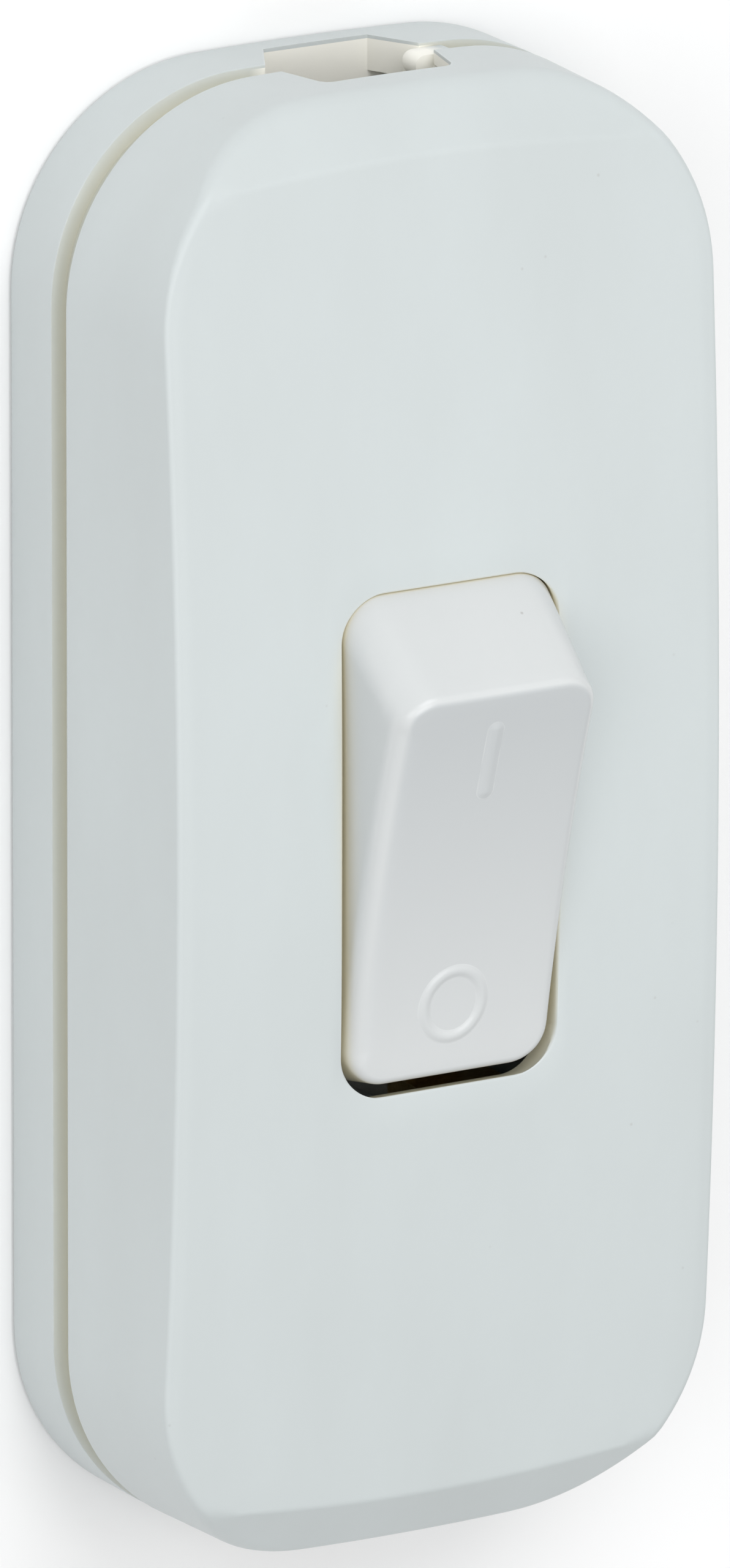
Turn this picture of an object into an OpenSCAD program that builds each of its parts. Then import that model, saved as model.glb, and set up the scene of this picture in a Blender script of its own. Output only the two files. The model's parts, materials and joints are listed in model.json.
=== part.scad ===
// In-line rocker switch for a flexible cord: two-part moulded case, rocker with two spring
// plungers, a pair of see-saw contacts, screw terminals and a cord clamp at each end.
// The switch lies on its back: +Z points out of the rocker face, +Y along the case towards
// the end marked with a bar. The origin is the middle of the back face. Millimetres.

/* [Case] */
// Width of the case
body_w = 40; // [39:0.5:42]
// Length of the case
body_l = 91; // [90:0.5:94]
// Height of the front face above the back, at mid-length
face_h = 18.5; // [18:0.1:19.5]
// Radius of the lengthwise crown of the front face
crown_r = 415; // [350:5:600]
// Plan radius of the four corners
corner_r = 13; // [11.5:0.5:14]
// Plan radius of the slightly bulged end walls
end_bulge_r = 240; // [150:10:400]
// How far each side wall leans in over the height of the front cover
side_draft = 1.2; // [0.8:0.1:1.4]
// Distance from the middle at which the crowned face turns down into an end bevel
crown_half_l = 41.85; // [41.6:0.05:42.1]
// Slope of the end bevels below level
end_bevel = 40; // [38:1:44]
// Thickness of the outer walls
wall_t = 2.2; // [2:0.1:2.4]
// Height of the rear cover's outer wall
rear_wall_h = 5.2; // [4.8:0.1:5.6]
// Width of the shadow gap between the two covers
shadow_gap = 1.8; // [1.4:0.1:2]
// Depth of the shadow gap
shadow_depth = 1; // [0.8:0.1:1.2]

/* [Cord entry] */
// Half width of the entry where the covers meet
entry_half_w = 5.3; // [5:0.1:5.6]
// Half width of the entry at its floor
entry_floor_half_w = 3.6; // [3.2:0.1:4]
// Half width of the entry at its roof
entry_roof_half_w = 4.4; // [4:0.1:4.8]
// Height of the entry's roof above the back
entry_roof_h = 10.9; // [10.4:0.1:11.2]

/* [Rocker] */
// Width of the window in the front cover
window_w = 14.9; // [14.8:0.1:15.3]
// Length of the window
window_l = 31.4; // [31.2:0.1:32]
// Corner radius of the window
window_r = 3; // [2.7:0.1:3.3]
// Width of the rocker at its skirt
rocker_w = 14.6; // [14.4:0.1:14.6]
// Width of the rocker at its finger face
face_w = 13.7; // [13.4:0.1:14]
// Height of the rocker's pivot above the back
pivot_h = 12.7; // [12.5:0.1:12.9]
// Tilt of the rocker either side of level
rocker_tilt = 14; // [12:0.5:14]
// Half length of the rocker's finger face
face_half_l = 13.1; // [12.8:0.1:13.2]
// Height of the finger face's end edges above the pivot
face_edge_h = 9; // [8.6:0.1:9.2]
// Depth of the hollow of the finger face
face_dish = 0.6; // [0.3:0.1:0.8]
// Height of the raised marks
mark_h = 0.2; // [0.15:0.05:0.3]

/* [Contacts] */
// Distance of each pole from the centre line
pole_x = 3.1; // [3:0.1:3.2]
// Width of the contact strips
strip_w = 3.4; // [3:0.1:3.4]
// Thickness of the brass strips
strip_t = 0.8; // [0.6:0.1:0.8]
// Tilt of a see-saw contact either side of level
seesaw_tilt = 12; // [10:0.5:12]

/* [Terminals and clamps] */
// Distance of the terminal blocks from the centre line
terminal_x = 8.2; // [8:0.1:8.4]
// Distance of the terminal screws from the middle
terminal_y = 24.5; // [24:0.1:25]
// Distance of the earth terminal from the centre line
earth_x = 14.9; // [14.8:0.05:15]
// Distance of the cord clamps from the middle
clamp_y = 36; // [35.8:0.1:36.2]
// Distance of the clamp screws from the centre line
clamp_screw_x = 7.7; // [7.6:0.05:7.8]
// Distance of the cover screws from the centre line
cover_screw_x = 13.5; // [13.4:0.05:13.6]
// Distance of the cover screws from the middle
cover_screw_y = 31.5; // [31.3:0.1:31.6]

/* [Hidden] */

$fn = 48;
over = 1;                 // how far a cutter runs past the face it opens

// Colours
shell_white = [0.85, 0.875, 0.87];
rocker_white = [0.9, 0.905, 0.9];
clamp_white = [0.8, 0.8, 0.76];
brass = [0.8, 0.66, 0.35];
silver = [0.82, 0.82, 0.8];
steel = [0.66, 0.67, 0.68];

// Case
half_w = body_w / 2;
half_l = body_l / 2;
front_wall_z = rear_wall_h + shadow_gap;
floor_t = 2;
roof_t = 2.1;
middle_rib_half_l = 10;
middle_rib_top = 7.3;
end_rib_y = [19, 29];
end_rib_top = 9;
side_rib_x = [11.5, 12.1];
side_rib_half_l = 18;
side_rib_top = 7.5;
lip_fit = 0.1;            // side clearance of the rear cover's lip
lip_top = front_wall_z + 1.4;
end_centre_y = half_l - end_bulge_r;
corner_x = half_w - corner_r;
corner_y = end_centre_y + sqrt(pow(end_bulge_r - corner_r, 2) - pow(corner_x, 2));
blend_angle = atan2(corner_y - end_centre_y, corner_x);
crown_z = face_h - crown_r;
end_edge_r = 1.5;         // rounds the edge between an end wall and its bevel
least_edge_r = 0.3;       // the same edge on the inside of the shell

// Pivot cheeks and guides under the window
cheek_t = 2;
cheek_half_l = 4.2;
cheek_drop = 3.3;         // from the pivot down to the cheek's lower edge
guide_t = 1.5;
guide_z = 14.8;
guide_drop = 0.4;         // keeps the guides inside the crowned roof at their ends
stub_r = 1.75;
stub_fit = 0.05;
cheek_x = window_w / 2;

// Rocker, measured from its pivot
skirt_r = 16.5;           // reach of the skirt, swung about the pivot
skirt_high = 5.6;         // angle at which the leaning end face starts
skirt_low = -4;           // angle of the skirt's lower edge
rocker_corner_r = 2.6;
hollow_w = 11;
end_wall = 1.3;           // at the ends of the finger face
skirt_wall = 1.5;
hollow_low = 1.3;         // height at which the hollow starts to follow the end faces
face_wall = 1.5;          // thickness under the middle of the finger face
edge_wall = 1.8;          // and under its ends
hub_r = 3.6;
hub_t = 1.6;
stub_gap = 0.3;           // a stub ends this far short of its cheek's outer face
block_root = 0.2;         // the plunger block runs this far into the side walls
block_half_l = 3.2;
block_low = -2.4;
block_under = 1;          // the block stops this far under the face
bore_top = 6.3;
mark_y = 8.4;             // both marks sit this far from the middle of the face
bar_w = 1.1;
bar_l = 5.4;
bar_end_r = 0.54;         // just under half the bar's width
ring_r = 2.5;
ring_w = 0.8;
swing_fit = 0.1;          // between the skirt and the window's end walls
dish_r = (face_half_l * face_half_l + face_dish * face_dish) / (2 * face_dish);
dish_z = face_edge_h - face_dish + dish_r;
dish_angle = asin(face_half_l / dish_r);
uncut_angle = 1.03 * dish_angle;   // of the face before its end faces trim it
skirt_top = [skirt_r * cos(skirt_high), skirt_r * sin(skirt_high)];
end_lean = atan2(skirt_top[0] - face_half_l, face_edge_h - skirt_top[1]);

// Plungers and springs, measured from the pivot
plunger_r = 1.6;
plunger_fit = 0.05;
plunger_tip = -6.35;
plunger_head = -0.6;
guide_pin_r = 0.7;
guide_pin_l = 1.6;
spring_r = 1.15;
wire_r = 0.2;
spring_turns = 7;
ring_steps = 12;
wire_sides = 6;

// See-saw contacts
fulcrum_z = 5.3;
long_arm = 7.8;
short_arm = 4.8;
rivet_y = 6.5;
rivet_r = 1.25;
rivet_head = 0.6;
rivet_shank_r = 0.6;
rivet_hole_r = 0.62;
upset_r = 0.95;           // the flattened end of a moving rivet
upset_h = 0.3;
rivet_fit = 0.02;
contact_gap = 0.1;        // left between closed contact faces
fixed_rivet_top = fulcrum_z - rivet_head - contact_gap;
fixed_post_top = fixed_rivet_top - rivet_head;
post_half_l = 1.6;
fulcrum_fit = 0.15;       // between a see-saw and the ridge it rocks on
rib_t = 1.2;

// Terminals
block_w = 6;
block_l = 9;
block_top = 8.5;
strip_turn_y = 12;        // where a strip steps sideways to its block
wire_bore_r = 1.6;
wire_bore_z = 4.6;
wire_bore_l = 8;
screw_r = 1.5;
screw_fit = 0.05;
head_r = 2.3;
head_h = 1.5;
earth_w = 4.6;
earth_half_l = 13.5;
earth_top = 7.5;
earth_screw_y = 9;
head_lift = 0.3;          // daylight under a terminal screw's head

// Cord clamps
clamp_l = 5.6;
clamp_half_w = 10.2;
clamp_z = 7.6;
clamp_ear_t = 2.2;
saddle_z = 6.6;
saddle_r = 4.4;
saddle_wall = 1.6;
clamp_post_r = 2.3;
clamp_screw_r = 1.25;
clamp_screw_l = 4;        // reach of a clamp screw below the clamp
clamp_head_r = 2.3;
clamp_head_h = 1.6;
clamp_bore_z = 3;
clamp_gap = 0.1;          // between a clamp's ears and their posts
ridge_h = 0.9;
ridge_half_w = 4;
ridge_half_l = 0.4;

// Cover screws
cover_post_r = 3.4;
cover_boss_r = 3.2;
cover_head_r = 2.9;
cover_head_h = 2.1;
cover_seat_z = 2.6;
cover_boss_z = 8.2;
post_gap = 0.2;           // between the posts of the two covers
post_bore_fit = 0.2;      // around a cover screw in the rear cover's post
cover_boss_top = 15.8;    // inside the roof
cover_screw_top = 14;

// ---------------------------------------------------------------- outlines

function arc(cx, cy, r, a0, a1, n) =
  [for (i = [0:n]) let (a = a0 + (a1 - a0) * i / n) [cx + r * cos(a), cy + r * sin(a)]];

function without_first(p) = [for (i = [1:len(p) - 1]) p[i]];

function mirror_x(p) = [for (i = [len(p) - 1:-1:0]) [-p[i][0], p[i][1]]];

// One quarter of the case outline, from the side wall round to the middle of the end
function quarter_outline(inset) = concat(
  arc(corner_x, corner_y, corner_r - inset, 0, blend_angle, 9),
  without_first(arc(0, end_centre_y, end_bulge_r - inset, blend_angle, 90, 3)));

function half_outline(inset) = let (q = quarter_outline(inset))
  concat(q, without_first(mirror_x(q)));

function case_outline(inset) = let (h = half_outline(inset)) concat(h, [for (p = h) -p]);

// Where the crowned face meets an end bevel, in side view
function crease(inset) =
  let (outer = [crown_half_l, crown_z + sqrt(crown_r * crown_r - crown_half_l * crown_half_l)],
       on_bevel = outer - inset * [sin(end_bevel), cos(end_bevel)],
       up_bevel = [-cos(end_bevel), sin(end_bevel)],
       from_centre = on_bevel - [0, crown_z],
       along = from_centre * up_bevel,
       beyond = from_centre * from_centre - pow(crown_r - inset, 2))
  on_bevel + (sqrt(along * along - beyond) - along) * up_bevel;

// Side view of the front cover above base_z, from one end wall to the middle of the crown
function half_side_view(inset, base_z) =
  let (c = crease(inset),
       r = max(end_edge_r - inset, least_edge_r),
       edge_y = half_l - inset - r,
       edge_z = c[1] - (r + sin(end_bevel) * (edge_y - c[0])) / cos(end_bevel))
  concat([[half_l - inset, base_z]],
    arc(edge_y, edge_z, r, 0, 90 - end_bevel, 5),
    arc(0, crown_z, crown_r - inset, atan2(c[1] - crown_z, c[0]), 90, 8));

function side_view(inset, base_z) = let (h = half_side_view(inset, base_z))
  concat(h, without_first(mirror_x(h)));

// Centred rectangle with round corners
function rounded_box(w, l, r, n) = concat(
  arc(w / 2 - r, l / 2 - r, r, 0, 90, n), arc(r - w / 2, l / 2 - r, r, 90, 180, n),
  arc(r - w / 2, r - l / 2, r, 180, 270, n), arc(w / 2 - r, r - l / 2, r, 270, 360, n));

module case_prism(inset, low, high) {
  translate([0, 0, low]) linear_extrude(high - low) polygon(case_outline(inset));
}

// The front cover's outside in plan, its side walls leaning in as they rise
module drafted_prism() {
  rise = face_h + over - front_wall_z;
  lean = side_draft / (face_h - front_wall_z);
  translate([0, 0, front_wall_z])
    linear_extrude(rise, scale = [1 - lean * rise / half_w, 1], slices = 1)
      polygon(case_outline(0));
}

// Extrudes a side view, drawn as [y, z], evenly to both sides of the centre line
module across(width) {
  rotate([90, 0, 90]) linear_extrude(width, center = true) children();
}

module box(x0, x1, y0, y1, z0, z1) {
  translate([x0, y0, z0]) cube([x1 - x0, y1 - y0, z1 - z0]);
}

module upright(x, y, r, low, high) {
  translate([x, y, low]) cylinder(r = r, h = high - low);
}

module both_ends() {
  children();
  rotate([0, 0, 180]) children();
}

module both_sides() {
  children();
  mirror([1, 0, 0]) children();
}

module fore_and_aft() {
  children();
  mirror([0, 1, 0]) children();
}

// ---------------------------------------------------------------- covers

module cord_entries() {
  both_ends() translate([0, half_l - 3 * wall_t, 0]) rotate([90, 0, 0]) mirror([0, 0, 1])
    linear_extrude(4 * wall_t) polygon([
      [-entry_floor_half_w, floor_t], [entry_floor_half_w, floor_t],
      [entry_half_w, rear_wall_h], [entry_half_w, front_wall_z],
      [entry_roof_half_w, entry_roof_h], [-entry_roof_half_w, entry_roof_h],
      [-entry_half_w, front_wall_z], [-entry_half_w, rear_wall_h]]);
}

module rear_shell() {
  difference() {
    union() {
      case_prism(0, 0, rear_wall_h);
      case_prism(shadow_depth, 0, lip_top);
    }
    case_prism(wall_t, floor_t, lip_top + over);
    cord_entries();
  }
}

module rear_ribs() {
  rib = rib_t / 2;
  box(-rib, rib, -middle_rib_half_l, middle_rib_half_l, floor_t - over, middle_rib_top);
  both_ends() box(-rib, rib, end_rib_y[0], end_rib_y[1], floor_t - over, end_rib_top);
  both_sides() box(side_rib_x[0], side_rib_x[1], -side_rib_half_l, side_rib_half_l,
    floor_t - over, side_rib_top);
  both_ends() for (y = [clamp_y - 1, clamp_y + 1])
    box(-ridge_half_w, ridge_half_w, y - ridge_half_l, y + ridge_half_l,
      floor_t - over, floor_t + ridge_h);
}

module rear_cover() {
  color(shell_white) difference() {
    union() {
      rear_shell();
      rear_ribs();
      both_ends() {
        upright(-cover_screw_x, cover_screw_y, cover_post_r, floor_t - over,
          cover_boss_z - post_gap);
        both_sides() upright(clamp_screw_x, clamp_y, clamp_post_r, floor_t - over,
          clamp_z - clamp_gap);
      }
    }
    both_ends() {
      upright(-cover_screw_x, cover_screw_y, cover_boss_r, -over, cover_seat_z);
      upright(-cover_screw_x, cover_screw_y, screw_r + post_bore_fit, 0, cover_boss_z);
      both_sides() upright(clamp_screw_x, clamp_y, clamp_screw_r + screw_fit, clamp_bore_z, clamp_z);
    }
  }
}

module front_shell() {
  difference() {
    intersection() {
      drafted_prism();
      across(body_w + over) polygon(side_view(0, front_wall_z - over));
    }
    intersection() {
      case_prism(wall_t, front_wall_z - over, face_h);
      across(body_w) polygon(side_view(roof_t, front_wall_z - 2 * over));
    }
    case_prism(shadow_depth - lip_fit, front_wall_z - over, lip_top + lip_fit);
    cord_entries();
  }
}

// Solid swept about the pivot by the rocker's round-cornered plan, grown by fit
module swept_plan(fit) {
  flat = rocker_w / 2 - rocker_corner_r;
  reach = skirt_r - rocker_corner_r;
  r = rocker_corner_r + fit;
  rotate([0, 90, 0]) rotate_extrude($fn = 96) polygon(concat([[0, -flat - r]],
    arc(reach, -flat, r, -90, 0, 6), arc(reach, flat, r, 0, 90, 6), [[0, flat + r]]));
}

module window_cut() {
  translate([0, 0, front_wall_z]) linear_extrude(face_h)
    polygon(rounded_box(window_w, window_l, window_r, 6));
  translate([0, 0, pivot_h]) swept_plan(swing_fit);
}

module pivot_cheeks() {
  roof_z = face_h - roof_t / 2;
  both_sides() {
    box(cheek_x, cheek_x + guide_t, -window_l / 2, window_l / 2, guide_z,
      roof_z - guide_drop);
    box(cheek_x, cheek_x + cheek_t, -cheek_half_l, cheek_half_l, pivot_h - cheek_drop, roof_z);
  }
}

module front_cover() {
  color(shell_white) difference() {
    union() {
      difference() {
        front_shell();
        window_cut();
      }
      pivot_cheeks();
      both_ends()
        upright(-cover_screw_x, cover_screw_y, cover_boss_r, cover_boss_z, cover_boss_top);
    }
    translate([0, 0, pivot_h]) rotate([0, 90, 0])
      cylinder(r = stub_r + stub_fit, h = body_w / 2, center = true);
    both_ends()
      upright(-cover_screw_x, cover_screw_y, screw_r + screw_fit, 0, cover_screw_top + over / 2);
  }
}

// ---------------------------------------------------------------- screws

// Shank up to the head, head on top, with a straight driving slot
module slotted_screw(shank_r, shank_l, top_r, top_h) {
  slot_w = 0.7;
  difference() {
    union() {
      translate([0, 0, -shank_l]) cylinder(r = shank_r, h = shank_l);
      cylinder(r = top_r, h = top_h);
    }
    box(-slot_w / 2, slot_w / 2, -top_r - over, top_r + over, top_h * 0.45, top_h + over);
  }
}

// Shank up to the head, with a cross recess in the head
module cross_screw(shank_r, shank_l, top_r, top_h) {
  recess_w = 0.8;
  difference() {
    union() {
      translate([0, 0, -shank_l]) cylinder(r = shank_r, h = shank_l);
      cylinder(r = top_r, h = top_h);
    }
    for (a = [0, 90]) rotate([0, 0, a])
      box(-recess_w / 2, recess_w / 2, -top_r * 0.6, top_r * 0.6, top_h * 0.35, top_h + over);
  }
}

module cover_screws() {
  color(steel) both_ends() translate([-cover_screw_x, cover_screw_y, cover_seat_z])
    mirror([0, 0, 1]) cross_screw(screw_r, cover_screw_top - cover_seat_z, cover_head_r,
      cover_head_h);
}

module terminal_screws() {
  color(steel) both_ends() both_sides() translate([terminal_x, terminal_y, block_top + head_lift])
    slotted_screw(screw_r, block_top + head_lift - wire_bore_z - 0.6, head_r, head_h);
}

module earth_screws() {
  color(steel) for (y = [-earth_screw_y, earth_screw_y])
    translate([earth_x, y, earth_top + head_lift])
      slotted_screw(screw_r - 0.1, earth_top + head_lift - wire_bore_z - 0.4, head_r - 0.2, head_h);
}

module clamp_screws() {
  color(steel) both_ends() both_sides()
    translate([clamp_screw_x, clamp_y, clamp_z + clamp_ear_t])
      cross_screw(clamp_screw_r, clamp_ear_t + clamp_screw_l, clamp_head_r, clamp_head_h);
}

// ---------------------------------------------------------------- rocker

module place_rocker() {
  translate([0, 0, pivot_h]) rotate([rocker_tilt, 0, 0]) children();
}

// Hollowed finger face, from the +Y end to the -Y end, raised by lift
function face_arc(lift, n) = arc(0, dish_z, dish_r - lift, dish_angle - 90, -dish_angle - 90, n);

// Side view of the rocker, oversize at both ends, where other outlines trim it
function rocker_side() =
  let (low = [[skirt_r + over, skirt_r * sin(skirt_low)], [skirt_r + over, skirt_top[1] + over]])
  concat(low, arc(0, dish_z, dish_r, uncut_angle - 90, -uncut_angle - 90, 12), mirror_x(low));

function hollow_side() =
  let (half = [[skirt_r - skirt_wall, -hub_r - over], [skirt_r - skirt_wall, hollow_low],
         [face_half_l - end_wall, face_edge_h - edge_wall]])
  concat(half, [[0, face_edge_h - face_dish - face_wall]], mirror_x(half));

// Prism whose rounded end follows the leaning end face of the rocker
module leaning_envelope() {
  reach = face_half_l * cos(end_lean) + face_edge_h * sin(end_lean);
  rotate([end_lean, 0, 0]) translate([0, reach - 2 * skirt_r, 0])
    linear_extrude(4 * skirt_r, center = true)
      polygon(rounded_box(rocker_w, 4 * skirt_r, rocker_corner_r, 6));
}

// Trapezoid along the rocker whose sides lean in from the skirt to the finger face
module leaning_sides() {
  lean = (rocker_w - face_w) / 2 / (face_edge_h - skirt_top[1]);
  low = -hub_r;
  high = face_edge_h + over;
  low_x = face_w / 2 + lean * (face_edge_h - low);
  high_x = face_w / 2 - lean * over;
  rotate([90, 0, 0]) linear_extrude(4 * skirt_r, center = true)
    polygon([[low_x, low], [high_x, high], [-high_x, high], [-low_x, low]]);
}

module rocker_marks() {
  low = face_edge_h - edge_wall;
  intersection() {
    translate([0, 0, low]) linear_extrude(edge_wall + over) {
      translate([0, mark_y]) polygon(rounded_box(bar_w, bar_l, bar_end_r, 6));
      translate([0, -mark_y]) difference() {
        circle(ring_r);
        circle(ring_r - ring_w);
      }
    }
    across(rocker_w) polygon(concat([[face_half_l, low]], face_arc(mark_h, 12),
      [[-face_half_l, low]]));
  }
}

module rocker_body() {
  hollow_x = hollow_w / 2;
  difference() {
    intersection() {
      across(2 * window_w) polygon(rocker_side());
      leaning_sides();
      leaning_envelope();
      rotate([0, 0, 180]) leaning_envelope();
      swept_plan(0);
    }
    across(hollow_w) polygon(hollow_side());
  }
  both_sides() translate([hollow_x, 0, 0]) rotate([0, 90, 0]) {
    cylinder(r = hub_r, h = hub_t);
    cylinder(r = stub_r, h = cheek_x + cheek_t - stub_gap - hollow_x);
  }
  box(-hollow_x - block_root, hollow_x + block_root, -block_half_l, block_half_l, block_low,
    face_edge_h - face_dish - block_under);
  rocker_marks();
}

module rocker() {
  color(rocker_white) place_rocker() difference() {
    rocker_body();
    for (x = [-pole_x, pole_x])
      upright(x, 0, plunger_r + plunger_fit, block_low - over, bore_top);
  }
}

module plunger(x) {
  tip_z = plunger_tip + plunger_r;
  color(clamp_white) place_rocker() translate([x, 0, 0]) rotate_extrude()
    polygon(concat([[0, plunger_tip]], without_first(arc(0, tip_z, plunger_r, -90, 0, 6)),
      [[plunger_r, plunger_head], [guide_pin_r, plunger_head],
       [guide_pin_r, plunger_head + guide_pin_l], [0, plunger_head + guide_pin_l]]));
}

module live_plunger() { plunger(-pole_x); }
module neutral_plunger() { plunger(pole_x); }

// Round wire wound into a compression spring, from low to high
module coil_spring(low, high) {
  rings = spring_turns * ring_steps;
  points = [for (i = [0:rings], k = [0:wire_sides - 1])
    let (turn = 360 * i / ring_steps, side = 360 * k / wire_sides,
         r = spring_r + wire_r * cos(side))
    [r * cos(turn), r * sin(turn),
     low + wire_r + (high - low - 2 * wire_r) * i / rings + wire_r * sin(side)]];
  walls = [for (i = [0:rings - 1], k = [0:wire_sides - 1])
    let (next = (k + 1) % wire_sides, a = i * wire_sides, b = a + wire_sides)
    [a + k, a + next, b + next, b + k]];
  first = [for (k = [wire_sides - 1:-1:0]) k];
  last = [for (k = [0:wire_sides - 1]) rings * wire_sides + k];
  polyhedron(points, concat(walls, [first, last]));
}

module plunger_spring(x) {
  color(steel) place_rocker() translate([x, 0, 0])
    coil_spring(plunger_head + 0.05, bore_top - 0.05);
}

module live_plunger_spring() { plunger_spring(-pole_x); }
module neutral_plunger_spring() { plunger_spring(pole_x); }

// ---------------------------------------------------------------- see-saw contacts

// Drawn with the fulcrum line at the origin and the arms level, then tipped to the rest pose
module place_seesaw(x) {
  translate([x, 0, fulcrum_z]) rotate([-seesaw_tilt, 0, 0]) children();
}

module seesaw(x) {
  rise = tan(seesaw_tilt);
  color(brass) place_seesaw(x) difference() {
    across(strip_w) polygon([
      [0, 0], [short_arm, short_arm * rise], [short_arm, short_arm * rise + strip_t],
      [0, strip_t], [-long_arm, long_arm * rise + strip_t], [-long_arm, long_arm * rise]]);
    translate([0, -rivet_y, rivet_y * rise]) rotate([-seesaw_tilt, 0, 0])
      cylinder(r = rivet_hole_r, h = 4 * strip_t, center = true);
  }
}

module live_seesaw() { seesaw(-pole_x); }
module neutral_seesaw() { seesaw(pole_x); }

module moving_rivet(x) {
  through = strip_t + rivet_fit;
  color(silver) place_seesaw(x) translate([0, -rivet_y, rivet_y * tan(seesaw_tilt)])
    rotate([-seesaw_tilt, 0, 0]) {
      translate([0, 0, -rivet_head]) cylinder(r = rivet_r, h = rivet_head - rivet_fit);
      translate([0, 0, -0.1]) cylinder(r = rivet_shank_r, h = through + 0.1);
      translate([0, 0, through]) cylinder(r = upset_r, h = upset_h);
    }
}

module live_moving_rivet() { moving_rivet(-pole_x); }
module neutral_moving_rivet() { moving_rivet(pole_x); }

// ---------------------------------------------------------------- fixed terminals

// Screw block at the end of a strip; the wire enters from the cord side
module screw_block() {
  y0 = terminal_y - block_l / 2;
  difference() {
    box(terminal_x - block_w / 2, terminal_x + block_w / 2, y0, y0 + block_l, floor_t, block_top);
    translate([terminal_x, y0 + block_l - wire_bore_l, wire_bore_z]) rotate([-90, 0, 0])
      cylinder(r = wire_bore_r, h = wire_bore_l + over);
    upright(terminal_x, terminal_y, screw_r + screw_fit, wire_bore_z, block_top + over);
  }
}

// Flat strip from start_y out to the block, stepping sideways on the way
module terminal_strip(start_y) {
  low = floor_t;
  high = floor_t + strip_t;
  box(pole_x - strip_w / 2, pole_x + strip_w / 2, start_y, strip_turn_y + strip_w, low, high);
  box(pole_x - strip_w / 2, terminal_x + strip_w / 2, strip_turn_y, strip_turn_y + strip_w, low, high);
  box(terminal_x - strip_w / 2, terminal_x + strip_w / 2, strip_turn_y,
    terminal_y - block_l / 2 + over, low, high);
}

module pivot_terminal() {
  ridge_top = fulcrum_z - fulcrum_fit;
  color(brass) {
    terminal_strip(-2);
    screw_block();
    translate([pole_x, 0, 0]) across(strip_w - 0.4)
      polygon([[-1.6, floor_t + 0.1], [1.6, floor_t + 0.1], [1.3, floor_t + strip_t + 1],
        [0.45, ridge_top], [-0.45, ridge_top], [-1.3, floor_t + strip_t + 1]]);
  }
}

module live_pivot_terminal() { mirror([1, 0, 0]) pivot_terminal(); }
module neutral_pivot_terminal() { pivot_terminal(); }

// Drawn towards +Y like the pivot terminal, then turned to the other end of the case
module contact_terminal() {
  color(brass) difference() {
    union() {
      terminal_strip(rivet_y - post_half_l);
      screw_block();
      box(pole_x - strip_w / 2 + 0.2, pole_x + strip_w / 2 - 0.2, rivet_y - post_half_l,
        rivet_y + post_half_l, floor_t + 0.1, fixed_post_top);
    }
    upright(pole_x, rivet_y, rivet_hole_r, floor_t + strip_t / 2, face_h);
  }
}

module live_contact_terminal() { rotate([0, 0, 180]) contact_terminal(); }
module neutral_contact_terminal() { mirror([0, 1, 0]) contact_terminal(); }

module fixed_rivet(x) {
  color(silver) {
    upright(x, -rivet_y, rivet_r, fixed_post_top + rivet_fit, fixed_rivet_top);
    upright(x, -rivet_y, rivet_shank_r, floor_t + strip_t / 2 + 0.05, fixed_post_top + 0.1);
  }
}

module live_fixed_rivet() { fixed_rivet(-pole_x); }
module neutral_fixed_rivet() { fixed_rivet(pole_x); }

module earth_terminal() {
  color(brass) difference() {
    box(earth_x - earth_w / 2, earth_x + earth_w / 2, -earth_half_l, earth_half_l, floor_t, earth_top);
    fore_and_aft() {
      translate([earth_x, earth_half_l - wire_bore_l, wire_bore_z]) rotate([-90, 0, 0])
        cylinder(r = screw_r, h = wire_bore_l + over);
      upright(earth_x, earth_screw_y, screw_r + screw_fit - 0.1, wire_bore_z, earth_top + over);
    }
  }
}

// ---------------------------------------------------------------- cord clamps

module cord_clamp() {
  half = clamp_l / 2;
  color(clamp_white) translate([0, clamp_y, 0]) difference() {
    union() {
      box(-clamp_half_w, clamp_half_w, -half, half, clamp_z, clamp_z + clamp_ear_t);
      intersection() {
        translate([0, 0, saddle_z]) rotate([90, 0, 0])
          cylinder(r = saddle_r + saddle_wall, h = clamp_l, center = true);
        box(-clamp_half_w, clamp_half_w, -half, half, clamp_z, face_h);
      }
    }
    translate([0, 0, saddle_z]) rotate([90, 0, 0])
      cylinder(r = saddle_r, h = clamp_l + 2 * over, center = true);
    both_sides() upright(clamp_screw_x, 0, clamp_screw_r + 0.2, 0, face_h);
  }
}

module upper_cord_clamp() { cord_clamp(); }
module lower_cord_clamp() { rotate([0, 0, 180]) cord_clamp(); }

rear_cover();
front_cover();
cover_screws();
rocker();
live_plunger();
neutral_plunger();
live_plunger_spring();
neutral_plunger_spring();
live_seesaw();
neutral_seesaw();
live_moving_rivet();
neutral_moving_rivet();
live_pivot_terminal();
neutral_pivot_terminal();
live_contact_terminal();
neutral_contact_terminal();
live_fixed_rivet();
neutral_fixed_rivet();
terminal_screws();
earth_terminal();
earth_screws();
upper_cord_clamp();
lower_cord_clamp();
clamp_screws();
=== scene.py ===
"""Looks of the in-line rocker switch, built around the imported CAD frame.

The two covers, the rocker, its marks and its springs get detailed meshes; every other part
keeps its CAD mesh. Working numbers are in millimetres in the CAD frame, and become metres in
each mesh.
"""

import json
import math

import bmesh
import bpy
import numpy as np
from mathutils import Matrix, Vector


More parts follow.
